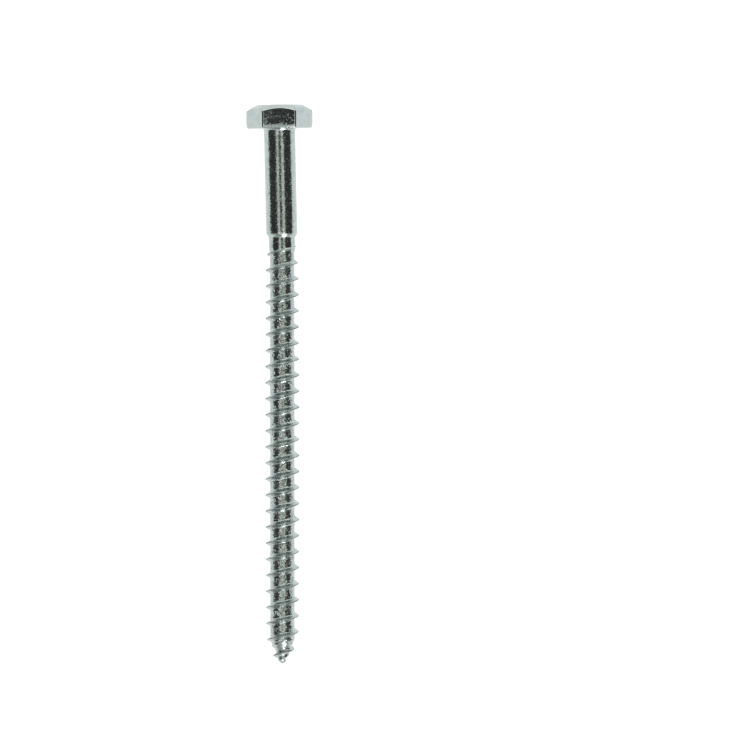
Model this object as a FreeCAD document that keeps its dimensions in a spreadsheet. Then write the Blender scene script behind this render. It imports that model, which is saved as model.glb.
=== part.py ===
import FreeCAD, Part
import math
import os

import Sketcher

# Hexagon coach screw, forged and rolled as one piece of steel, in millimetres.
# The screw is modelled upright. Its axis is Z, the centre of the bearing face under the head is
# the origin, and the point is at the bottom. Its placement then lays it down as it comes to rest,
# on one flat of the head and on the last full crest of the thread, with the head towards +Y.

NODE = "coach_screw"
HEAD_SIDES = 6

# Driving dimensions: alias, value, meaning. Angles are in degrees.
SIZES = (
    ("head_flats", 13.0, "across the flats of the hexagon"),
    ("head_height", 5.3, "from the bearing face to the top face"),
    ("head_top_diameter", 10.9, "circle that the chamfer leaves on top"),
    ("head_chamfer_angle", 30.0, "chamfer against the top face"),
    ("head_corner_round", 0.5, "radius of the upright edges"),
    ("head_foot_chamfer", 0.25, "broken edge round the bearing face"),
    ("under_head_fillet", 0.6, "radius between the bearing face and the shank"),
    ("shank_diameter", 7.0, "plain shank"),
    ("shank_length", 23.5, "from the bearing face to the shoulder"),
    ("shoulder_angle", 30.0, "slope of the shoulder against the axis"),
    ("neck_diameter", 5.88, "plain neck between the shoulder and the thread"),
    ("neck_length", 2.83, "plain neck, from the shoulder to the thread"),
    ("core_diameter", 5.47, "in the root of the thread"),
    ("thread_diameter", 7.7, "over the crests"),
    ("thread_pitch", 3.6, "from crest to crest"),
    ("flank_angle", 37.0, "upper part of a flank against a plane across the axis"),
    ("root_flare_angle", 45.0, "lower part of a flank against a plane across the axis"),
    ("root_flare_share", 0.45, "share of the height of the ridge that its flared foot takes"),
    ("ridge_sink", 0.1, "how far the ridge reaches into the core"),
    ("full_crest_offset", 4.55, "from the neck to the first full crest"),
    ("run_in_turns", 2.0, "turns in which the crest rises out of the neck"),
    ("run_in_sink", 0.04, "how far the first crest lies inside the neck"),
    ("point_length", 5.35, "cone of the point, below the last full crest"),
    ("bare_tip", 0.31, "end of the point that the thread leaves bare"),
    ("point_trim_angle", 48.0, "slope against the axis to which the last turn is cut back"),
    ("screw_length", 120.0, "from the bearing face to the tip"),
    ("tip_diameter", 0.4, "blunt end of the point"),
)

doc = FreeCAD.newDocument("CoachScrew")
sheet = doc.addObject("Spreadsheet::Sheet", "Sizes")
for row, (alias, value, meaning) in enumerate(SIZES, start=1):
    sheet.set(f"A{row}", meaning)
    sheet.set(f"B{row}", str(value))
    sheet.setAlias(f"B{row}", alias)
doc.recompute()

body = doc.addObject("PartDesign::Body", "CoachScrew")
body.Label = NODE
origin = {element.Role: element for element in body.Origin.OriginFeatures}

# Places worked out from the driving dimensions, as expressions of the sheet
HEAD_CORNER = f"Sizes.head_flats / 2 / cos({180 / HEAD_SIDES})"
SHOULDER_LENGTH = "(Sizes.shank_diameter - Sizes.neck_diameter) / 2 / tan(Sizes.shoulder_angle)"
NECK_START = f"(Sizes.shank_length + {SHOULDER_LENGTH})"
NECK_END = f"({NECK_START} + Sizes.neck_length)"
FULL_THREAD_START = f"({NECK_END} + Sizes.full_crest_offset)"
POINT_START = "(Sizes.screw_length - Sizes.point_length)"
FULL_THREAD_LENGTH = f"({POINT_START} - {FULL_THREAD_START})"
POINT_THREAD_LENGTH = "(Sizes.point_length - Sizes.bare_tip)"
POINT_TAPER = "((Sizes.core_diameter - Sizes.tip_diameter) / 2 / Sizes.point_length)"
RUN_IN_RISE = "((Sizes.thread_diameter - Sizes.neck_diameter) / 2 + Sizes.run_in_sink)"


def size(alias):
    """Value of one driving dimension."""
    return float(getattr(sheet, alias))


def worked_out(expression):
    """Value of an expression of the sheet."""
    return float(sheet.evalExpression(expression.replace("Sizes.", "")))


def outline(name, plane, corners, turned="0"):
    """Closed sketch of straight lines, turned about its own upright axis.

    Each corner is a pair of expressions of the sheet.
    """
    sketch = body.newObject("Sketcher::SketchObject", name)
    sketch.AttachmentSupport = [(origin[plane], "")]
    sketch.MapMode = "FlatFace"
    sketch.AttachmentOffset.Rotation = FreeCAD.Rotation(FreeCAD.Vector(0, 1, 0), 0)
    sketch.setExpression("AttachmentOffset.Rotation.Angle", turned)
    count = len(corners)
    step = 2 * math.pi / count
    rough = [FreeCAD.Vector(math.cos(i * step), math.sin(i * step), 0) for i in range(count)]
    for i in range(count):
        sketch.addGeometry(Part.LineSegment(rough[i], rough[(i + 1) % count]), False)
    for i in range(count):
        sketch.addConstraint(Sketcher.Constraint("Coincident", i, 2, (i + 1) % count, 1))
    for i, (across, along) in enumerate(corners):
        for kind, start, text in (("DistanceX", rough[i].x, across), ("DistanceY", rough[i].y, along)):
            constraint = sketch.addConstraint(Sketcher.Constraint(kind, -1, 1, i, 1, start))
            sketch.renameConstraint(constraint, f"{kind}{i}")
            sketch.setExpression(f"Constraints.{kind}{i}", text)
    doc.recompute()
    return sketch


def bind(made, bound):
    """Binds properties of an object to expressions of the sheet."""
    for key, text in bound.items():
        made.setExpression(key, text)
    doc.recompute()
    return made


def feature(kind, name, bound, **settings):
    """PartDesign feature with plain settings and with properties bound to the sheet."""
    made = body.newObject(f"PartDesign::{kind}", name)
    for key, value in settings.items():
        setattr(made, key, value)
    return bind(made, bound)


def revolved(kind, name, corners):
    """Revolution or groove of an outline in the XZ plane, turned about the axis of the screw."""
    sketch = outline(f"{name}Outline", "XZ_Plane", corners)
    return feature(kind, name, {}, Profile=sketch, ReferenceAxis=(sketch, ["V_Axis"]), Refine=False)


def edges_of(shape, wanted):
    """Names of the edges of a shape that wanted() picks."""
    return [f"Edge{i}" for i, edge in enumerate(shape.Edges, start=1) if wanted(edge)]


def is_upright(edge):
    """Holds for an edge that runs along the head."""
    return abs(edge.Vertexes[0].Z - edge.Vertexes[-1].Z) > size("head_height") / 2


def is_on_bearing_face(edge):
    """Holds for an edge in the plane of the bearing face."""
    return all(abs(vertex.Z) < Part.Precision.confusion() for vertex in edge.Vertexes)


def is_shank_root(edge):
    """Holds for the circle in which the shank meets the bearing face."""
    reach = edge.BoundBox.XMax - size("shank_diameter") / 2
    return is_on_bearing_face(edge) and abs(reach) < Part.Precision.confusion()


def helix_path(name, length, first_radius, flare, first_height, heading):
    """Right-handed helix about the axis, from its narrow end at a height and a heading."""
    path = doc.addObject("Part::Helix", name)
    path.SegmentLength = 1
    path.Placement.Rotation = heading
    return bind(
        path,
        {
            "Pitch": "Sizes.thread_pitch",
            "Height": length,
            "Radius": first_radius,
            "Angle": f"atan({flare})",
            "Placement.Base.z": first_height,
        },
    )


def ridge_outline(name, depth, turned="0"):
    """Section of the thread's ridge with its crest at a depth below the bearing face."""
    flare_height = "(Sizes.thread_diameter - Sizes.core_diameter) / 2 * Sizes.root_flare_share"
    knee = f"(Sizes.core_diameter / 2 + {flare_height})"
    half_knee = f"(Sizes.thread_diameter / 2 - {knee}) * tan(Sizes.flank_angle)"
    flare = f"({flare_height} + Sizes.ridge_sink) * tan(Sizes.root_flare_angle)"
    base = "Sizes.ridge_sink - Sizes.core_diameter / 2"
    corners = [
        ("-Sizes.thread_diameter / 2", f"-{depth}"),
        (f"-{knee}", f"-{depth} + {half_knee}"),
        (base, f"-{depth} + {half_knee} + {flare}"),
        (base, f"-{depth} - {half_knee} - {flare}"),
        (f"-{knee}", f"-{depth} - {half_knee}"),
    ]
    return outline(name, "XZ_Plane", corners, turned)


def ridge_along(name, profile, path):
    """Ridge of the thread swept along a helix, its section kept upright."""
    spine = [f"Edge{i}" for i in range(1, len(path.Shape.Edges) + 1)]
    return feature(
        "AdditivePipe",
        name,
        {},
        Profile=profile,
        Spine=(path, spine),
        Mode="Binormal",
        Binormal=FreeCAD.Vector(0, 0, 1),
        Refine=False,
    )


# Head: a hexagon with a flat square to Y, rounded upright edges, a broken foot and a chamfered top
hexagon = outline(
    "Hexagon",
    "XY_Plane",
    [
        (f"{HEAD_CORNER} * cos({i * 360 / HEAD_SIDES})", f"{HEAD_CORNER} * sin({i * 360 / HEAD_SIDES})")
        for i in range(HEAD_SIDES)
    ],
)
block = feature("Pad", "HeadBlock", {"Length": "Sizes.head_height"}, Profile=hexagon)
rounded = feature(
    "Fillet",
    "HeadCorners",
    {"Radius": "Sizes.head_corner_round"},
    Base=(block, edges_of(block.Shape, is_upright)),
)
foot = feature(
    "Chamfer",
    "HeadFoot",
    {"Size": "Sizes.head_foot_chamfer"},
    Base=(rounded, edges_of(rounded.Shape, is_on_bearing_face)),
)
chamfer_reach = "Sizes.head_flats"
chamfer_drop = f"({chamfer_reach} - Sizes.head_top_diameter / 2) * tan(Sizes.head_chamfer_angle)"
top_chamfer = revolved(
    "Groove",
    "HeadChamfer",
    [
        ("Sizes.head_top_diameter / 2", "Sizes.head_height"),
        (chamfer_reach, f"Sizes.head_height - {chamfer_drop}"),
        (chamfer_reach, "Sizes.head_height"),
    ],
)

# Shank, shoulder, neck, core of the thread and point
shaft = revolved(
    "Revolution",
    "Shaft",
    [
        ("0", "0"),
        ("Sizes.shank_diameter / 2", "0"),
        ("Sizes.shank_diameter / 2", "-Sizes.shank_length"),
        ("Sizes.neck_diameter / 2", f"-{NECK_START}"),
        ("Sizes.neck_diameter / 2", f"-{NECK_END}"),
        ("Sizes.core_diameter / 2", f"-{NECK_END} - (Sizes.neck_diameter - Sizes.core_diameter) / 2"),
        ("Sizes.core_diameter / 2", f"-{POINT_START}"),
        ("Sizes.tip_diameter / 2", "-Sizes.screw_length"),
        ("0", "-Sizes.screw_length"),
    ],
)
root = feature(
    "Fillet",
    "UnderHead",
    {"Radius": "Sizes.under_head_fillet"},
    Base=(shaft, edges_of(shaft.Shape, is_shank_root)),
)

# Thread: a full-height stretch that begins at -X, a run-in that rises out of the neck above it and
# a run down the point below it
full_thread_turns = worked_out(f"{FULL_THREAD_LENGTH} / Sizes.thread_pitch")
point_turns = worked_out(f"{POINT_THREAD_LENGTH} / Sizes.thread_pitch")
about_z = FreeCAD.Vector(0, 0, 1)
begins = FreeCAD.Rotation(about_z, 180)
ends = FreeCAD.Rotation(about_z, 180 - 360 * full_thread_turns)
ridge = ridge_outline("Ridge", FULL_THREAD_START)
thread_path = helix_path(
    "ThreadPath",
    FULL_THREAD_LENGTH,
    "Sizes.thread_diameter / 2",
    "0",
    f"-{POINT_START}",
    ends,
)
thread = ridge_along("Thread", ridge, thread_path)

run_in_length = "(Sizes.run_in_turns * Sizes.thread_pitch)"
run_in_turned = FreeCAD.Rotation(about_z, 360 * size("run_in_turns"))
upside_down = FreeCAD.Rotation(FreeCAD.Vector(1, 0, 0), 180)
run_in_path = helix_path(
    "RunInPath",
    run_in_length,
    f"Sizes.thread_diameter / 2 - {RUN_IN_RISE}",
    f"{RUN_IN_RISE} / {run_in_length}",
    f"{run_in_length} - {FULL_THREAD_START}",
    begins.multiply(run_in_turned).multiply(upside_down),
)
run_in = ridge_along("RunIn", ridge, run_in_path)

point_path = helix_path(
    "PointPath",
    POINT_THREAD_LENGTH,
    f"Sizes.thread_diameter / 2 - {POINT_TAPER} * {POINT_THREAD_LENGTH}",
    POINT_TAPER,
    f"-{POINT_START} - {POINT_THREAD_LENGTH}",
    ends.multiply(FreeCAD.Rotation(about_z, -360 * point_turns)),
)
point_ridge = ridge_outline("PointRidge", POINT_START, f"-360 * {FULL_THREAD_LENGTH} / Sizes.thread_pitch")
point_thread = ridge_along("PointThread", point_ridge, point_path)

# The last turn is cut back to a blunt cone so that it fades into the tip
trim_reach = "Sizes.thread_diameter"
trim_rise = f"({trim_reach} - Sizes.tip_diameter / 2) / tan(Sizes.point_trim_angle)"
trim = revolved(
    "Groove",
    "PointTrim",
    [
        ("0", "-Sizes.screw_length"),
        ("Sizes.tip_diameter / 2", "-Sizes.screw_length"),
        (trim_reach, f"-Sizes.screw_length + {trim_rise}"),
        (trim_reach, "-Sizes.screw_length - Sizes.thread_pitch"),
        ("0", "-Sizes.screw_length - Sizes.thread_pitch"),
    ],
)

# At rest the lower flat of the head and the last full crest on the lower side touch the ground.
# From -X the thread winds down to +Y, which comes to lie below, in a quarter turn.
last_crest_turn = math.floor(full_thread_turns - 0.25) + 0.25
last_crest = worked_out(FULL_THREAD_START) + last_crest_turn * size("thread_pitch")
drop = (size("head_flats") - size("thread_diameter")) / 2
rest_angle = math.degrees(math.atan(drop / (last_crest + size("head_foot_chamfer"))))
lying = FreeCAD.Rotation(FreeCAD.Vector(1, 0, 0), rest_angle - 90)
body.Placement = FreeCAD.Placement(FreeCAD.Vector(0, 0, 0), lying)
doc.recompute()

for item in doc.Objects:
    if "Invalid" in item.State or "Error" in item.State:
        raise RuntimeError(f"{item.Name} is {item.State}")
for cut in (top_chamfer, trim):
    if cut.Shape.Volume >= cut.BaseFeature.Shape.Volume:
        raise RuntimeError(f"{cut.Name} cuts nothing")
for added in (shaft, root, thread, run_in, point_thread):
    if added.Shape.Volume <= added.BaseFeature.Shape.Volume:
        raise RuntimeError(f"{added.Name} adds nothing")
if body.Shape.isNull() or not body.Shape.isValid() or len(body.Shape.Solids) != 1:
    raise RuntimeError("the screw is not one valid solid")

os.makedirs("parts", exist_ok=True)
body.Shape.exportStep(f"parts/{NODE}.step")
print(f"{NODE}: {body.Shape.Volume:.1f} mm3, lies at {rest_angle:.3f} degrees")
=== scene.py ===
import math
from typing import NamedTuple

import bmesh
import bpy
from mathutils import Matrix, Vector, noise


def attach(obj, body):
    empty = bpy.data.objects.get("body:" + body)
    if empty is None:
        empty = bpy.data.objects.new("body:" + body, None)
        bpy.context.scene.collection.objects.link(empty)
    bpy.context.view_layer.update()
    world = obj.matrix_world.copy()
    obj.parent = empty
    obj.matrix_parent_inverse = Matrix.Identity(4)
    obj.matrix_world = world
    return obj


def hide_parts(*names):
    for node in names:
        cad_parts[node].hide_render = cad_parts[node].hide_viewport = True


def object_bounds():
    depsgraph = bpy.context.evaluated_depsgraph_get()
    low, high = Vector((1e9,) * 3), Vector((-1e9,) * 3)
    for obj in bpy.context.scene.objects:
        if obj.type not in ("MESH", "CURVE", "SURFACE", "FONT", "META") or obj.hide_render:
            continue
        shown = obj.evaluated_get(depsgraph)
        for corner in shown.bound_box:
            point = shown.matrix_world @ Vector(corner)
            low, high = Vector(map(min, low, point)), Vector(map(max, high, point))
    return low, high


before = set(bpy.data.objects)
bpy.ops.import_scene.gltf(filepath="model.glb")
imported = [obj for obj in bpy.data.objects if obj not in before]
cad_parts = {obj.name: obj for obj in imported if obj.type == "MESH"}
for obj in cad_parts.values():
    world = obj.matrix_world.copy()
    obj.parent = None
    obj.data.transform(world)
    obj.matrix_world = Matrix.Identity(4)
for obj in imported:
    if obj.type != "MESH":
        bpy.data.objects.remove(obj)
CAD_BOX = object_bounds()

bl_info = {
    "name": "Coach screw",
    "version": (1, 0, 0),
    "blender": (4, 5, 0),
    "location": "View3D > Sidebar > Coach screw",
    "description": "Makes a zinc plated hexagon coach screw and the table it lies on",
    "category": "Add Mesh",
}

NODE = "coach_screw"
MM = 0.001
SAME_PLACE = 1e-6  # two points nearer than this are one

# Zones of the plating, in the order of their materials
HEAD, SHANK, THREAD, POINT = range(4)

# Outline of the thread's ridge above and below its crest: share of its height, and millimetres along
RIDGE_ABOVE = ((0, 1.13), (0.09, 0.84), (0.29, 0.60), (0.62, 0.36), (1, 0.10))
RIDGE_BELOW = (
    (1, -0.05),
    (0.68, -0.19),
    (0.40, -0.31),
    (0.24, -0.42),
    (0.12, -0.56),
    (0.04, -0.74),
    (0, -0.94),
)
RIDGE_SOFT = 0.06 * MM  # rounding of the outline's corners
LONG_STEP = 0.5 * MM  # longer stretches of the outline are divided
TURN_STEPS = 80
TURNS_BEFORE = 3  # turns made above the first full crest
TURNS_AFTER = 26
LAST_TURN = 24.62  # turns from the first full crest to the end of the ridge
LAST_FADE = 0.2  # turns over which the ridge ends
NECK_BLEND = 0.9 * MM  # length over which the neck narrows to the core
NECK_LEAD = 0.4 * MM  # how much of that length lies on the neck
NECK_JOIN = 0.13 * MM  # from the shoulder to the top of the spun thread
SHANK_SOFT = 0.3 * MM  # soft corner between the shoulder and the shank
TIP_JOIN = 0.35 * MM  # from the end of the spun thread to the tip
TIP_ROUND = 0.33 * MM  # height of the rounded tip
LEAST_RADIUS = 0.05 * MM

SENSOR = 36.0  # millimetres
TABLE_HALF = 3.0  # metres

# Crest radius in millimetres by turns from the first full crest
CREST_RADII = (
    (-2.0, 2.90),
    (-1.5, 3.12),
    (-1.0, 3.38),
    (-0.5, 3.57),
    (0.0, 3.69),
    (1.0, 3.70),
    (1.5, 3.77),
    (5.2, 3.75),
    (6.0, 3.83),
    (15.5, 3.83),
    (16.0, 3.76),
    (18.3, 3.75),
    (19.0, 3.71),
    (22.3, 3.71),
    (22.5, 3.64),
    (22.9, 3.60),
    (23.2, 3.20),
    (23.5, 2.66),
    (24.0, 2.08),
    (24.4, 1.45),
    (24.55, 0.90),
)

# How far the crest hangs below an even helix at the point, in millimetres by turns
CREST_SAG = ((22.9, 0.0), (23.25, 0.2), (23.5, 0.35), (23.75, 0.2), (24.0, 0.0))


def length(name, about, millimetres):
    """Length that the user can set, stored in metres."""
    return bpy.props.FloatProperty(
        name=name, description=about, default=millimetres * MM, precision=5, unit="LENGTH"
    )


def angle(name, about, degrees):
    """Angle that the user can set."""
    return bpy.props.FloatProperty(
        name=name, description=about, default=math.radians(degrees), subtype="ANGLE"
    )


def colour(name, about, value):
    """Colour that the user can set."""
    return bpy.props.FloatVectorProperty(
        name=name, description=about, default=value, size=3, min=0, max=1, subtype="COLOR"
    )


def share(name, about, value, most=1.0):
    """Plain number that the user can set."""
    return bpy.props.FloatProperty(
        name=name, description=about, default=value, min=0, max=most, subtype="FACTOR"
    )


class CoachScrewSizes(bpy.types.PropertyGroup):
    """Sizes of the screw."""

    head_flats: length("Head across flats", "Width of the hexagon across its flats", 13.0)
    head_height: length("Head height", "From the bearing face to the rim of the top", 5.19)
    head_top: length("Head top", "Diameter of the circle on top of the head", 10.85)
    head_dome: length("Head dome", "How far the middle of the top stands above its rim", 0.2)
    head_corner: length("Head corner", "Radius of the upright edges of the head", 0.5)
    head_foot: length("Head foot", "Round edge of the bearing face", 0.15)
    head_soft: length("Head softness", "Round edge between the chamfer and the flats", 0.09)
    foot_roll: length("Foot roll", "How far the foot of the flats draws in", 0.13)
    foot_rise: length("Foot rise", "Height over which the flats draw in", 1.6)
    corner_wear: length("Corner wear", "How far the six lower corners of the head are rounded off", 0.2)
    head_lean: angle("Head lean", "How far the head leans to one side", 0.63)
    chamfer_slope: angle("Chamfer slope", "Slope of the chamfer against the top", 33.0)
    fillet: length("Fillet", "Radius under the head", 0.6)
    shank: length("Shank", "Diameter of the plain shank", 7.0)
    shank_length: length("Shank length", "From the bearing face to the shoulder", 23.5)
    shoulder: length("Shoulder", "Length of the sloping shoulder", 0.97)
    neck: length("Neck", "Diameter of the plain neck", 5.88)
    neck_end: length("Neck end", "From the bearing face to the end of the neck", 27.3)
    core: length("Core", "Diameter in the root of the thread", 5.47)
    crests: length("Crests", "Diameter over the crests of the thread", 7.7)
    pitch: length("Pitch", "From crest to crest", 3.6)
    first_crest: length("First full crest", "Depth of the first full crest on the left", 31.85)
    point_start: length("Point start", "Depth at which the core begins to taper", 114.65)
    total: length("Length", "From the bearing face to the tip", 120.0)
    tip: length("Tip", "Diameter of the blunt tip", 0.4)
    trim_slope: angle("Trim slope", "Slope to which the last turn fades", 48.0)
    lie: angle("Lie", "Dip of the axis towards the point as the screw lies", 1.353)
    nicks: length("Nicks", "How far the crest of the thread strays", 0.035)
    bow: length("Bow", "How far the shaft is bent sideways at the neck", 0.45)


class CoachScrewFinish(bpy.types.PropertyGroup):
    """Look of the plating."""

    zinc: colour("Zinc", "Colour of the bright plating", (0.455, 0.52, 0.508))
    dull: colour("Dull zinc", "Colour of the duller patches", (0.40, 0.465, 0.453))
    speck: colour("Specks", "Colour of the dark specks", (0.20, 0.22, 0.21))
    # Darker colour that the code paints along the crest of the thread
    seam: colour("Seam", "Colour of the seam along the crest of the thread", (0.16, 0.175, 0.165))
    polish: share("Roughness", "Roughness of the brightest plating", 0.14)
    grain: share("Grain", "Strength of the leaning crystals in the plating", 1.0, 4.0)


class CoachScrewStudio(bpy.types.PropertyGroup):
    """Table, light and camera."""

    table: colour("Table", "Colour of the table", (0.3, 0.3, 0.3))
    glow: share("Table glow", "Light that the pale table gives off", 0.95, 4.0)
    pale: share("Backdrop", "Brightness of what is seen beyond the table", 0.93, 4.0)
    dim: share("Dim room", "Brightness of the room that the metal mirrors", 0.043, 4.0)
    tint: colour("Strip light colour", "Colour of the strip lights and the foot light", (1.0, 0.965, 0.90))
    strips: share("Strip lights", "Brightness of the two strip lights", 0.86, 20.0)
    strip_angle: angle("Strip angle", "Angle between the camera and each strip light", 18.0)
    strip_width: angle("Strip width", "Width of each strip light as the screw sees it", 18.0)
    strip_tall: angle("Strip size", "Height of each strip light as the screw sees it", 66.0)
    fill: share("Foot light", "Brightness of the soft light beyond the point", 5.2, 20.0)
    fill_angle: angle("Foot light height", "Angle between straight up and the foot light", 69.0)
    fill_aside: angle("Foot light aside", "How far the foot light stands to the right", 17.0)
    fill_width: angle("Foot light width", "Width of the foot light as the screw sees it", 19.0)
    fill_tall: angle("Foot light size", "Height of the foot light as the screw sees it", 40.0)
    glow_foot: share("Foot glow", "Brightness of the wide weak light round the foot light", 0.45, 20.0)
    glow_width: angle("Foot glow width", "Width of the foot glow as the screw sees it", 110.0)
    back: share("Head light", "Brightness of the weak light beyond the head", 1.5, 20.0)
    back_angle: angle("Head light height", "Angle between straight up and the head light", 65.0)
    back_width: angle("Head light width", "Width of the head light as the screw sees it", 80.0)
    back_tall: angle("Head light size", "Height of the head light as the screw sees it", 50.0)
    low: share("Low light", "Brightness of the weak light between the strips and foot light", 0.62, 20.0)
    low_angle: angle("Low light height", "Angle between straight up and the low light", 27.0)
    low_width: angle("Low light width", "Width of the low light as the screw sees it", 50.0)
    low_tall: angle("Low light size", "Height of the low light as the screw sees it", 38.0)
    distance: length("Camera distance", "From the camera to the screw", 1330.0)
    view: length("View", "Width that the camera takes in at the screw", 168.1)
    aside: length("Aside", "How far the screw lies left of the middle of the view", 21.1)
    down: length("Down", "How far the middle of the view is from the bearing face", 55.35)
    roll: angle("Roll", "Turn of the camera about its own line of sight", -0.3)


class Plating(NamedTuple):
    """How one zone of the screw is plated."""

    name: str
    crystals: float  # how far the crystals lean
    streaks: float  # strength of the streaks along the screw
    grain: float  # strength of the fine lumps
    specks: float  # strength of the dark specks
    rougher: float  # added to the roughness of the finish
    seam: float = 0.0  # strength of the darker, rougher line painted along the crest
    matt_tip: float = 0.0  # length of the duller tip in millimetres


ZONES = {
    HEAD: Plating("Zinc on forged head", 0.25, 0.0, 0.6, specks=0.09, rougher=-0.045),
    SHANK: Plating("Zinc on drawn shank", 0.26, 0.4, 0.5, specks=0.32, rougher=0.0),
    THREAD: Plating("Zinc on rolled thread", 1.05, 0.1, 1.4, specks=0.26, rougher=0.06, seam=0.42),
    POINT: Plating("Zinc on point", 0.4, 0.1, 1.2, specks=0.25, rougher=0.04, seam=0.45, matt_tip=2.8),
}


# The screw is made upright, with its axis on Z and its bearing face at Z = 0, then laid down


def at_radius(vertex, radius):
    """Moves a vertex square to the axis until it has this radius."""
    now = math.hypot(vertex.co.x, vertex.co.y)
    vertex.co.x *= radius / now
    vertex.co.y *= radius / now


def between(table, x):
    """Value of a table of pairs at x, in a straight line between its rows."""
    if x <= table[0][0]:
        return table[0][1]
    for (x0, y0), (x1, y1) in zip(table, table[1:]):
        if x <= x1:
            return y0 + (y1 - y0) * (x - x0) / (x1 - x0)
    return table[-1][1]


def eased(x):
    """From 0 to 1 in a soft S."""
    x = min(max(x, 0.0), 1.0)
    return x * x * (3 - 2 * x)


def ridge_section(mesh, size):
    """One pitch of the thread's section as a line of vertices at -X, its corners rounded."""
    root = size.core / 2
    rise = size.crests / 2 - root
    top = size.pitch / 2
    heights = ((0, top / MM), *RIDGE_ABOVE, *RIDGE_BELOW, (0, -top / MM))
    line = [
        mesh.verts.new((-(root + rise * up), 0, along * MM - size.first_crest))
        for up, along in heights
    ]
    for a, b in zip(line, line[1:]):
        mesh.edges.new((a, b))
    bmesh.ops.bevel(
        mesh,
        geom=line[1:-1],
        offset=RIDGE_SOFT,
        offset_type="OFFSET",
        affect="VERTICES",
        segments=2,
        profile=0.5,
        material=-1,
    )
    long_edges = [e for e in mesh.edges if e.calc_length() > LONG_STEP]
    bmesh.ops.subdivide_edges(mesh, edges=long_edges, cuts=2, use_grid_fill=False)


def base_radius(size, depth):
    """Radius of the shaft without its thread."""
    neck, core, tip = size.neck / 2, size.core / 2, size.tip / 2
    if depth < size.point_start:
        return neck + (core - neck) * eased((depth - size.neck_end + NECK_LEAD) / NECK_BLEND)
    return core + (tip - core) * (depth - size.point_start) / (size.total - size.point_start)


def stray(turns, waves, row, layer=0.0):
    """Noise along the crest, in so many waves a turn."""
    return noise.noise(Vector((turns * waves, row, layer)))


def shape_thread(mesh, size):
    """Lowers the crest in the run-in and at the point, and makes it stray a little."""
    full = size.crests / 2
    rise = mesh.verts.layers.float.new("rise")
    for v in mesh.verts:
        depth = -v.co.z
        radius = math.hypot(v.co.x, v.co.y)
        part_turn = (math.pi - math.atan2(v.co.y, v.co.x)) / (2 * math.pi)
        turns = round((depth - size.first_crest) / size.pitch - part_turn) + part_turn
        base = base_radius(size, depth)
        up = (radius - size.core / 2) / (full - size.core / 2)
        near_crest = max(up, 0.0) ** 2
        nick = size.nicks * abs(stray(turns, 9.0, 3.7) + 0.6 * stray(turns, 31.0, 9.1)) * near_crest
        lowered = radius - full + between(CREST_RADII, turns) * MM - nick
        fade = eased((LAST_TURN - turns) / LAST_FADE)
        radius = base + max(lowered - base, 0.0) * fade
        limit = size.tip / 2 + (size.total - depth) * math.tan(size.trim_slope)
        v[rise] = up * fade
        at_radius(v, max(min(radius, limit), LEAST_RADIUS))
        v.co.z -= between(CREST_SAG, turns) * MM * min(max(up, 0.0), 1.0)
        v.co.z += size.nicks * 0.7 * stray(turns, 6.0, 1.3, 5.0) * near_crest


def vertices_of(geometry):
    """Vertices among the geometry that an operator returns."""
    return [item for item in geometry if isinstance(item, bmesh.types.BMVert)]


def edges_of(geometry):
    """Edges among the geometry that an operator returns."""
    return [item for item in geometry if isinstance(item, bmesh.types.BMEdge)]


def cut_level(mesh, depth, above):
    """Cuts the mesh level at a depth, drops what is above or below, and returns the open loop."""
    cut = bmesh.ops.bisect_plane(
        mesh,
        geom=mesh.verts[:] + mesh.edges[:] + mesh.faces[:],
        dist=SAME_PLACE,
        plane_co=(0, 0, -depth),
        plane_no=(0, 0, 1),
        clear_outer=above,
        clear_inner=not above,
    )
    return edges_of(cut["geom_cut"])


def draw_on(mesh, loop, depth, radius):
    """Draws a loop out to a new level and radius and returns the new loop."""
    drawn = bmesh.ops.extrude_edge_only(mesh, edges=loop)["geom"]
    for v in vertices_of(drawn):
        v.co.z = -depth
        at_radius(v, radius)
    return edges_of(drawn)


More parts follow.
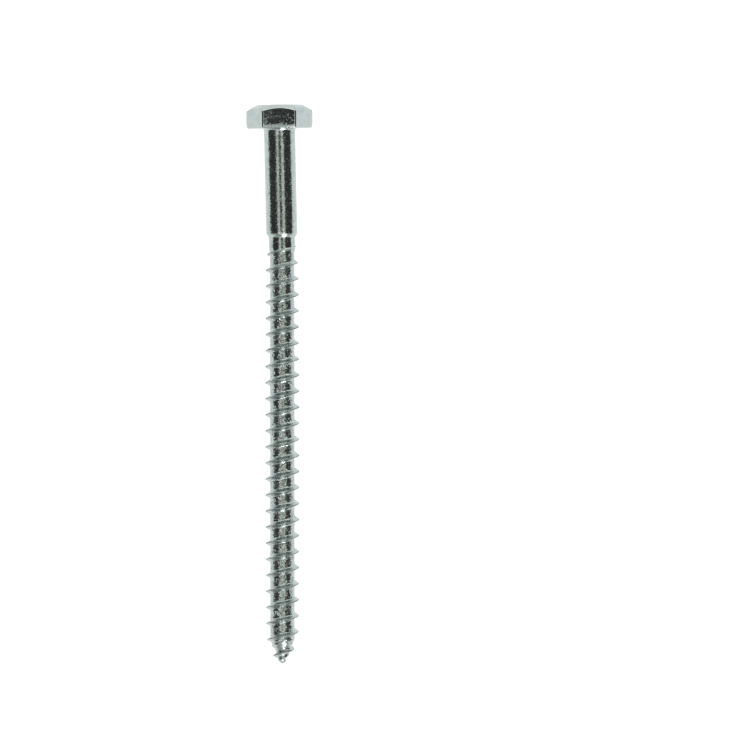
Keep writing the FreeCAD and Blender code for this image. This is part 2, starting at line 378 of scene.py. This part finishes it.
def turned_shaft(size):
    """Thread, neck, shank, fillet and tip in one skin, open at the bearing face."""
    mesh = bmesh.new()
    ridge_section(mesh, size)
    bmesh.ops.translate(mesh, verts=mesh.verts, vec=(0, 0, TURNS_BEFORE * size.pitch))
    bmesh.ops.spin(
        mesh,
        geom=mesh.verts[:] + mesh.edges[:],
        cent=(0, 0, 0),
        axis=(0, 0, 1),
        dvec=(0, 0, -size.pitch / TURN_STEPS),
        angle=-2 * math.pi,
        steps=TURN_STEPS,
        use_merge=False,
        use_normal_flip=False,
        use_duplicate=False,
    )
    turn = mesh.verts[:] + mesh.edges[:] + mesh.faces[:]
    for _ in range(TURNS_BEFORE + TURNS_AFTER - 1):
        turn = bmesh.ops.duplicate(mesh, geom=turn)["geom"]
        bmesh.ops.translate(mesh, verts=vertices_of(turn), vec=(0, 0, -size.pitch))
    bmesh.ops.remove_doubles(mesh, verts=mesh.verts, dist=3 * SAME_PLACE)
    shape_thread(mesh, size)
    neck_start = size.shank_length + size.shoulder
    tip_start = size.total - TIP_JOIN
    loop = cut_level(mesh, neck_start + NECK_JOIN, above=True)
    tip_loop = cut_level(mesh, tip_start, above=False)

    # Shoulder with two soft corners, shank and fillet
    drop = (size.shank - size.neck) / 2
    for along in (0.0, 0.2, 0.4, 0.6, 0.8, 1.0):
        radius = size.neck / 2 + drop * (0.5 * along + 0.5 * eased(along))
        loop = draw_on(mesh, loop, neck_start - along * size.shoulder, radius)
    loop = draw_on(mesh, loop, size.shank_length - SHANK_SOFT, size.shank / 2)
    for share_up in (0.75, 0.5, 0.25, 0.1):
        loop = draw_on(mesh, loop, size.shank_length * share_up, size.shank / 2)
    fillet_steps = 7
    for i in range(fillet_steps + 1):
        bend = math.pi / 2 * i / fillet_steps
        away = size.fillet * (1 - math.cos(bend))
        loop = draw_on(mesh, loop, size.fillet * (1 - math.sin(bend)), size.shank / 2 + away)

    # Rounded tip
    start_radius = base_radius(size, tip_start)
    tip_steps = 5
    for i in range(1, tip_steps):
        bend = math.pi / 2 * i / tip_steps
        depth = tip_start + TIP_ROUND * math.sin(bend)
        tip_loop = draw_on(mesh, tip_loop, depth, start_radius * math.cos(bend))
    bmesh.ops.edgeloop_fill(mesh, edges=tip_loop)
    return mesh, loop


def forged_head(size):
    """Hexagon head, cut by a cone on top and open below, where the shaft joins."""
    mesh = bmesh.new()
    corner = size.head_flats / math.sqrt(3)
    disc = bmesh.ops.create_circle(mesh, cap_ends=True, segments=6, radius=corner)["verts"]
    turn = math.atan2(disc[0].co.y, disc[0].co.x)
    bmesh.ops.rotate(mesh, verts=disc, cent=(0, 0, 0), matrix=Matrix.Rotation(-turn, 3, "Z"))
    grown = bmesh.ops.extrude_face_region(mesh, geom=mesh.faces[:])["geom"]
    bmesh.ops.translate(mesh, verts=vertices_of(grown), vec=(0, 0, size.head_height))
    rounding = {"affect": "EDGES", "profile": 0.5, "material": -1, "clamp_overlap": True}
    uprights = [e for e in mesh.edges if abs(e.verts[0].co.z - e.verts[1].co.z) > size.head_height / 2]
    setback = size.head_corner * math.tan(math.radians(30))
    bmesh.ops.bevel(mesh, geom=uprights, offset=setback, segments=6, **rounding)
    foot = [e for e in mesh.edges if all(abs(v.co.z) < SAME_PLACE for v in e.verts)]
    bmesh.ops.bevel(mesh, geom=foot, offset=size.head_foot, segments=3, **rounding)

    # The flats draw in towards the foot, and the six corners there are worn round
    bands = 6
    for i in range(bands):
        bmesh.ops.bisect_plane(
            mesh,
            geom=mesh.verts[:] + mesh.edges[:] + mesh.faces[:],
            dist=SAME_PLACE,
            plane_co=(0, 0, size.head_foot + (size.foot_rise - size.head_foot) * (i + 1) / bands),
            plane_no=(0, 0, 1),
        )
    for v in mesh.verts:
        drop = size.foot_roll * max(1 - v.co.z / size.foot_rise, 0.0) ** 2
        v.co.xy *= 1 - drop / (size.head_flats / 2)
        away = math.hypot(v.co.x, v.co.y)
        sharp = max(away - size.head_flats / 2, 0.0) / (corner - size.head_flats / 2)
        worn = size.corner_wear * sharp**2 * max(1 - v.co.z / (3 * size.corner_wear), 0.0) ** 2
        v.co.xy *= 1 - worn / away

    # The cone, as one narrow facet after another
    facets = 120
    for i in range(facets):
        around = 2 * math.pi * (i + 0.5) / facets
        out = Vector((math.cos(around), math.sin(around), 0))
        cut = bmesh.ops.bisect_plane(
            mesh,
            geom=mesh.verts[:] + mesh.edges[:] + mesh.faces[:],
            dist=SAME_PLACE / 10,
            plane_co=out * size.head_top / 2 + Vector((0, 0, size.head_height)),
            plane_no=out * math.sin(size.chamfer_slope) + Vector((0, 0, math.cos(size.chamfer_slope))),
            clear_outer=True,
        )
        bmesh.ops.edgeloop_fill(mesh, edges=edges_of(cut["geom_cut"]))
    bmesh.ops.remove_doubles(mesh, verts=mesh.verts, dist=SAME_PLACE)
    mesh.normal_update()

    # Shallow dome on top
    rim = size.head_top / 2
    level = 0.999  # a normal that points straighter up than this is on a level face
    top = [f for f in mesh.faces if f.normal.z > level and f.calc_center_median().z > size.head_height / 2]
    rings = 5
    for _ in range(rings - 1):
        bmesh.ops.inset_region(mesh, faces=top, thickness=rim / rings, use_even_offset=True)
    for v in mesh.verts:
        away = math.hypot(v.co.x, v.co.y)
        if v.co.z > size.head_height - SAME_PLACE:
            v.co.z += size.head_dome * (1 - (away / rim) ** 2)
    mesh.normal_update()

    # Soft edges where the cone meets the flats and the top
    cone = math.cos(size.chamfer_slope)
    on_cone = {f for f in mesh.faces if abs(f.normal.z - cone) < 0.02}
    edge_of_cone = [e for e in mesh.edges if len(set(e.link_faces) & on_cone) == 1]
    bmesh.ops.bevel(mesh, geom=edge_of_cone, offset=size.head_soft, segments=2, **rounding)
    below = [f for f in mesh.faces if f.normal.z < -level]
    bmesh.ops.delete(mesh, geom=below, context="FACES")
    return mesh


def keep_flats_flat(mesh):
    """Shades everything smooth, but lets no large flat take the slope of a rounded edge beside it."""
    large_area = 4 * MM * MM
    slight, sharp = math.radians(1), math.radians(50)
    for f in mesh.faces:
        f.smooth = True
    for e in mesh.edges:
        if len(e.link_faces) != 2:
            continue
        a, b = e.link_faces
        turned = a.normal.angle(b.normal)
        beside_flat = max(a.calc_area(), b.calc_area()) > large_area
        e.smooth = turned < sharp and not (beside_flat and turned > slight)


def make_screw_mesh(size):
    """Whole screw in one closed skin, lying as it comes to rest."""
    mesh, seam = turned_shaft(size)
    head = forged_head(size)
    carrier = bpy.data.meshes.new("head")
    head.to_mesh(carrier)
    head.free()
    mesh.from_mesh(carrier)
    bpy.data.meshes.remove(carrier)
    open_edges = [e for e in mesh.edges if e.is_boundary]
    bmesh.ops.triangle_fill(mesh, edges=open_edges, use_beauty=True, use_dissolve=False)
    bmesh.ops.recalc_face_normals(mesh, faces=mesh.faces)
    for f in mesh.faces:
        depth = -f.calc_center_median().z
        if depth > size.point_start + MM:
            f.material_index = POINT
        elif depth > size.neck_end:
            f.material_index = THREAD
        elif depth > size.fillet * 0.4:
            f.material_index = SHANK
        else:
            f.material_index = HEAD
    keep_flats_flat(mesh)
    still_open = [e.verts[0].co / MM for e in mesh.edges if e.is_boundary]
    if still_open:
        raise RuntimeError(f"the skin of the screw has open edges at {still_open[:4]}")
    for v in mesh.verts:
        if v.co.z > -SAME_PLACE:
            v.co.z += v.co.x * math.tan(size.head_lean)
        along = min(max(-v.co.z / size.neck_end, 0.0), (size.total + v.co.z) / (size.total - size.neck_end))
        v.co.x += size.bow * along
    bmesh.ops.transform(mesh, matrix=Matrix.Rotation(size.lie - math.pi / 2, 4, "X"), verts=mesh.verts)
    made = bpy.data.meshes.new("coach_screw_skin")
    mesh.to_mesh(made)
    mesh.free()
    return made


def new_material(name):
    """Empty node material."""
    material = bpy.data.materials.new(name)
    material.use_nodes = True
    material.node_tree.nodes.clear()
    return material


def add_maths(tree, operation, a, b, clamp=False):
    """Adds a calculation with two sockets or numbers to a node tree and returns its result."""
    node = tree.nodes.new("ShaderNodeMath")
    node.operation = operation
    node.use_clamp = clamp
    for socket, value in zip(node.inputs, (a, b)):
        if isinstance(value, bpy.types.NodeSocket):
            tree.links.new(value, socket)
        else:
            socket.default_value = value
    return node.outputs["Value"]


def add_ramp(tree, value, low, high, at_low=0.0, at_high=1.0):
    """Adds a straight ramp between two values of a socket and returns its result."""
    node = tree.nodes.new("ShaderNodeMapRange")
    node.inputs["From Min"].default_value = low
    node.inputs["From Max"].default_value = high
    node.inputs["To Min"].default_value = at_low
    node.inputs["To Max"].default_value = at_high
    tree.links.new(value, node.inputs["Value"])
    return node.outputs["Result"]


def plating_group():
    """Grain of zinc plating: leaning crystals, a height for the bump, dull patches and fine pits."""
    group = bpy.data.node_groups.new("Zinc grain", "ShaderNodeTree")
    face = group.interface
    face.new_socket("Vector", in_out="INPUT", socket_type="NodeSocketVector")
    for name, value in (("Crystals", 1.0), ("Streaks", 0.0), ("Grain", 1.0)):
        face.new_socket(name, in_out="INPUT", socket_type="NodeSocketFloat").default_value = value
    for name in ("Height", "Dull", "Pits"):
        face.new_socket(name, in_out="OUTPUT", socket_type="NodeSocketFloat")
    face.new_socket("Normal", in_out="OUTPUT", socket_type="NodeSocketVector")
    nodes, links = group.nodes, group.links
    enter, leave = nodes.new("NodeGroupInput"), nodes.new("NodeGroupOutput")
    place = enter.outputs["Vector"]

    def clouds(vector, scale, detail, rough):
        node = nodes.new("ShaderNodeTexNoise")
        node.inputs["Scale"].default_value = scale
        node.inputs["Detail"].default_value = detail
        node.inputs["Roughness"].default_value = rough
        links.new(vector, node.inputs["Vector"])
        return node.outputs["Fac"]

    def vectors(operation, a, b=None, scale=None):
        node = nodes.new("ShaderNodeVectorMath")
        node.operation = operation
        links.new(a, node.inputs[0])
        if isinstance(b, tuple):
            node.inputs[1].default_value = b
        elif b is not None:
            links.new(b, node.inputs[1])
        if scale is not None:
            links.new(scale, node.inputs["Scale"])
        return node.outputs["Value" if operation == "DOT_PRODUCT" else "Vector"]

    # Each cell of about 0.3 mm leans its own way, most of them little and a few of them far
    cells = nodes.new("ShaderNodeTexVoronoi")
    cells.inputs["Scale"].default_value = 3400
    links.new(place, cells.inputs["Vector"])
    lean = vectors("SUBTRACT", cells.outputs["Color"], (0.5, 0.5, 0.5))
    uneven = add_maths(group, "MULTIPLY", vectors("DOT_PRODUCT", lean, lean), enter.outputs["Crystals"])
    lean = vectors("SCALE", lean, scale=uneven)
    shape = nodes.new("ShaderNodeNewGeometry")
    links.new(vectors("NORMALIZE", vectors("ADD", shape.outputs["Normal"], lean)), leave.inputs["Normal"])

    # Lumps of three sizes, and streaks drawn out along the screw
    fine = clouds(place, scale=2800, detail=2.0, rough=0.6)
    coarse = clouds(place, scale=700, detail=2.0, rough=0.5)
    broad = clouds(place, scale=160, detail=1.0, rough=0.5)
    drawn_out = vectors("MULTIPLY", place, (1.0, 1.0, 0.06))
    streak = clouds(drawn_out, scale=2200, detail=2.0, rough=0.6)
    lumps = add_maths(group, "ADD", fine, add_maths(group, "MULTIPLY", coarse, 0.25))
    lumps = add_maths(group, "MULTIPLY", lumps, enter.outputs["Grain"])
    lumps = add_maths(group, "ADD", lumps, add_maths(group, "MULTIPLY", broad, 1.6))
    streaks = add_maths(group, "MULTIPLY", streak, enter.outputs["Streaks"])
    links.new(add_maths(group, "ADD", lumps, streaks), leave.inputs["Height"])
    links.new(add_ramp(group, coarse, 0.42, 0.68), leave.inputs["Dull"])
    links.new(add_ramp(group, fine, 0.54, 0.68), leave.inputs["Pits"])
    return group


def zinc_material(zone, group, finish, size):
    """Plated steel for one zone of the screw."""
    material = new_material(zone.name)
    tree = material.node_tree
    nodes, links = tree.nodes, tree.links
    place = nodes.new("ShaderNodeTexCoord")
    upright = nodes.new("ShaderNodeMapping")
    upright.inputs["Rotation"].default_value = (math.pi / 2 - size.lie, 0, 0)
    links.new(place.outputs["Object"], upright.inputs["Vector"])
    zinc = nodes.new("ShaderNodeGroup")
    zinc.node_tree = group
    links.new(upright.outputs["Vector"], zinc.inputs["Vector"])
    crystals = zone.crystals * finish.grain
    zinc.inputs["Crystals"].default_value = crystals
    zinc.inputs["Streaks"].default_value = zone.streaks
    zinc.inputs["Grain"].default_value = zone.grain
    dull, pits = zinc.outputs["Dull"], zinc.outputs["Pits"]

    # The rolled ridge of the thread is smoother than its root
    if zone.seam:
        rise = nodes.new("ShaderNodeAttribute")
        rise.attribute_name = "rise"
        rise = rise.outputs["Fac"]
        smoother = add_ramp(tree, rise, 0.08, 0.35, crystals, crystals * 0.08)
        links.new(smoother, zinc.inputs["Crystals"])
        smoother = add_ramp(tree, rise, 0.08, 0.35, zone.grain, zone.grain * 0.3)
        links.new(smoother, zinc.inputs["Grain"])

    def product(a, b):
        return add_maths(tree, "MULTIPLY", a, b, clamp=True)

    def total(a, b):
        return add_maths(tree, "ADD", a, b, clamp=True)

    def mixed(under, over, factor):
        node = nodes.new("ShaderNodeMix")
        node.data_type = "RGBA"
        links.new(factor, node.inputs["Factor"])
        for name, value in (("A", under), ("B", over)):
            if isinstance(value, bpy.types.NodeSocket):
                links.new(value, node.inputs[name])
            else:
                node.inputs[name].default_value = (*value, 1)
        return node.outputs["Result"]

    base = mixed(finish.zinc, finish.dull, dull)
    base = mixed(base, finish.speck, product(pits, zone.specks))
    polish = finish.polish + zone.rougher
    roughness = add_ramp(tree, dull, 0.0, 1.0, polish, polish + 0.08)
    roughness = total(roughness, product(pits, zone.specks * 0.9))

    # Darker, rougher and patchy line painted along the crest
    if zone.seam:
        crest = add_ramp(tree, rise, 0.84, 0.94)
        # Mask of the darker line on the crest, patchier where the zinc is dull
        worn = product(crest, total(product(dull, 0.4), zone.seam))
        base = mixed(base, finish.seam, worn)
        roughness = total(roughness, product(worn, 0.25))

    # Duller towards the very tip
    if zone.matt_tip:
        along = nodes.new("ShaderNodeSeparateXYZ")
        links.new(upright.outputs["Vector"], along.inputs["Vector"])
        matt_from = zone.matt_tip * MM - size.total
        matt = add_ramp(tree, along.outputs["Z"], matt_from, matt_from - 0.6 * MM, 0.0, 0.12)
        roughness = total(roughness, matt)

    bump = nodes.new("ShaderNodeBump")
    bump.inputs["Strength"].default_value = 1.0
    bump.inputs["Distance"].default_value = 0.02 * MM
    links.new(zinc.outputs["Height"], bump.inputs["Height"])
    links.new(zinc.outputs["Normal"], bump.inputs["Normal"])
    steel = nodes.new("ShaderNodeBsdfPrincipled")
    steel.inputs["Metallic"].default_value = 1.0
    links.new(base, steel.inputs["Base Color"])
    links.new(roughness, steel.inputs["Roughness"])
    links.new(bump.outputs["Normal"], steel.inputs["Normal"])
    out = nodes.new("ShaderNodeOutputMaterial")
    links.new(steel.outputs["BSDF"], out.inputs["Surface"])
    return material


def table_material(studio):
    """Matt grey top that gives off white light, so that it stays pale right up to the screw."""
    material = new_material("Pale table")
    nodes, links = material.node_tree.nodes, material.node_tree.links
    matt = nodes.new("ShaderNodeBsdfPrincipled")
    matt.inputs["Base Color"].default_value = (*studio.table, 1)
    matt.inputs["Roughness"].default_value = 1.0
    matt.inputs["Specular IOR Level"].default_value = 0.0
    matt.inputs["Emission Color"].default_value = (1.0, 1.0, 1.0, 1)
    matt.inputs["Emission Strength"].default_value = studio.glow
    out = nodes.new("ShaderNodeOutputMaterial")
    links.new(matt.outputs["BSDF"], out.inputs["Surface"])
    return material


def light_room(scene, studio):
    """Pale backdrop to look at, and a dim room for the metal to mirror."""
    room = bpy.data.worlds.new("Room")
    scene.world = room
    room.use_nodes = True
    nodes, links = room.node_tree.nodes, room.node_tree.links
    nodes.clear()
    ray = nodes.new("ShaderNodeLightPath")
    mix = nodes.new("ShaderNodeMixShader")
    links.new(ray.outputs["Is Camera Ray"], mix.inputs["Fac"])
    for socket, brightness in ((1, studio.dim), (2, studio.pale)):
        glow = nodes.new("ShaderNodeBackground")
        glow.inputs["Color"].default_value = (1.0, 1.0, 1.0, 1)
        glow.inputs["Strength"].default_value = brightness
        links.new(glow.outputs["Background"], mix.inputs[socket])
    out = nodes.new("ShaderNodeOutputWorld")
    links.new(mix.outputs["Shader"], out.inputs["Surface"])


def soft_light(scene, name, focus, turned, spread, brightness, away=1.0, tint=(1.0, 1.0, 1.0)):
    """Flat light some way from the focus, unseen by the camera, sized by the angles that it fills."""
    lamp = bpy.data.lights.new(name, "AREA")
    lamp.shape = "RECTANGLE"
    lamp.color = tint
    lamp.size, lamp.size_y = (2 * away * math.tan(angle_wide / 2) for angle_wide in spread)
    lamp.energy = brightness * math.pi * lamp.size * lamp.size_y
    light = bpy.data.objects.new(name, lamp)
    light.visible_camera = False
    scene.collection.objects.link(light)
    light.matrix_world = Matrix.Translation(focus) @ turned @ Matrix.Translation((0, 0, away))


class COACHSCREW_OT_screw(bpy.types.Operator):
    """Makes the plated screw in place of the plain solid"""

    bl_idname = "coachscrew.screw"
    bl_label = "Make the screw"

    def execute(self, context):
        scene = context.scene
        size, finish = scene.coachscrew_sizes, scene.coachscrew_finish
        screw = bpy.data.objects.new("plated_screw", make_screw_mesh(size))
        scene.collection.objects.link(screw)
        group = plating_group()
        for number in sorted(ZONES):
            screw.data.materials.append(zinc_material(ZONES[number], group, finish, size))
        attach(screw, "root")
        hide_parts(NODE)
        return {"FINISHED"}


class COACHSCREW_OT_stage(bpy.types.Operator):
    """Makes the pale table, the soft lights and the camera"""

    bl_idname = "coachscrew.stage"
    bl_label = "Make the stage"

    def execute(self, context):
        scene = context.scene
        studio, size = scene.coachscrew_studio, scene.coachscrew_sizes

        board = bmesh.new()
        bmesh.ops.create_grid(board, x_segments=1, y_segments=1, size=TABLE_HALF)
        bmesh.ops.translate(board, verts=board.verts, vec=(0, 0, CAD_BOX[0].z))
        top = bpy.data.meshes.new("table_top")
        board.to_mesh(top)
        board.free()
        table = bpy.data.objects.new("table_top", top)
        scene.collection.objects.link(table)
        top.materials.append(table_material(studio))
        light_room(scene, studio)

        # The camera looks straight down on the middle of the view
        lie = Matrix.Rotation(size.lie - math.pi / 2, 4, "X")
        middle = lie @ Vector((0, 0, -studio.down))
        lens = bpy.data.cameras.new("Camera")
        lens.sensor_width = SENSOR
        lens.lens = SENSOR * studio.distance / studio.view
        lens.clip_start, lens.clip_end = 0.01, 20.0
        camera = bpy.data.objects.new("Camera", lens)
        scene.collection.objects.link(camera)
        above = middle + Vector((studio.aside, 0, studio.distance))
        camera.matrix_world = Matrix.Translation(above) @ Matrix.Rotation(studio.roll, 4, "Z")
        scene.camera = camera

        # Two tall strips beside the camera, one strong and two weak lights towards the point,
        # and a weak one beyond the head
        for side in (-1, 1):
            turned = Matrix.Rotation(side * studio.strip_angle, 4, "Y")
            spread = (studio.strip_width, studio.strip_tall)
            soft_light(scene, f"Strip {side:+d}", middle, turned, spread, studio.strips, tint=studio.tint)
        turned = Matrix.Rotation(studio.fill_aside, 4, "Z") @ Matrix.Rotation(studio.fill_angle, 4, "X")
        spread = (studio.fill_width, studio.fill_tall)
        soft_light(scene, "Foot light", middle, turned, spread, studio.fill, tint=studio.tint)
        turned = Matrix.Rotation(studio.fill_angle, 4, "X")
        spread = (studio.glow_width, studio.back_tall)
        soft_light(scene, "Foot glow", middle, turned, spread, studio.glow_foot, away=1.6)
        turned = Matrix.Rotation(-studio.back_angle, 4, "X")
        soft_light(scene, "Head light", middle, turned, (studio.back_width, studio.back_tall), studio.back)
        turned = Matrix.Rotation(studio.low_angle, 4, "X")
        soft_light(scene, "Low light", middle, turned, (studio.low_width, studio.low_tall), studio.low)
        scene.view_settings.view_transform = "Standard"
        return {"FINISHED"}


class COACHSCREW_PT_panel(bpy.types.Panel):
    """Sizes, finish and studio of the coach screw"""

    bl_idname = "COACHSCREW_PT_panel"
    bl_label = "Coach screw"
    bl_space_type = "VIEW_3D"
    bl_region_type = "UI"
    bl_category = "Coach screw"

    def draw(self, context):
        for setting, _ in GROUPS:
            group = getattr(context.scene, setting)
            box = self.layout.box()
            for name in group.__annotations__:
                box.prop(group, name)
        self.layout.operator(COACHSCREW_OT_screw.bl_idname)
        self.layout.operator(COACHSCREW_OT_stage.bl_idname)


GROUPS = (
    ("coachscrew_sizes", CoachScrewSizes),
    ("coachscrew_finish", CoachScrewFinish),
    ("coachscrew_studio", CoachScrewStudio),
)
CLASSES = (COACHSCREW_OT_screw, COACHSCREW_OT_stage, COACHSCREW_PT_panel)


def register():
    """Registers the classes and puts the settings on the scene."""
    for name, group in GROUPS:
        bpy.utils.register_class(group)
        setattr(bpy.types.Scene, name, bpy.props.PointerProperty(type=group))
    for item in CLASSES:
        bpy.utils.register_class(item)


def unregister():
    """Takes the classes and settings away again."""
    for item in reversed(CLASSES):
        bpy.utils.unregister_class(item)
    for name, group in reversed(GROUPS):
        delattr(bpy.types.Scene, name)
        bpy.utils.unregister_class(group)


def main():
    """Makes the screw and the stage."""
    register()
    bpy.ops.coachscrew.screw()
    bpy.ops.coachscrew.stage()


if __name__ == "__main__":
    main()
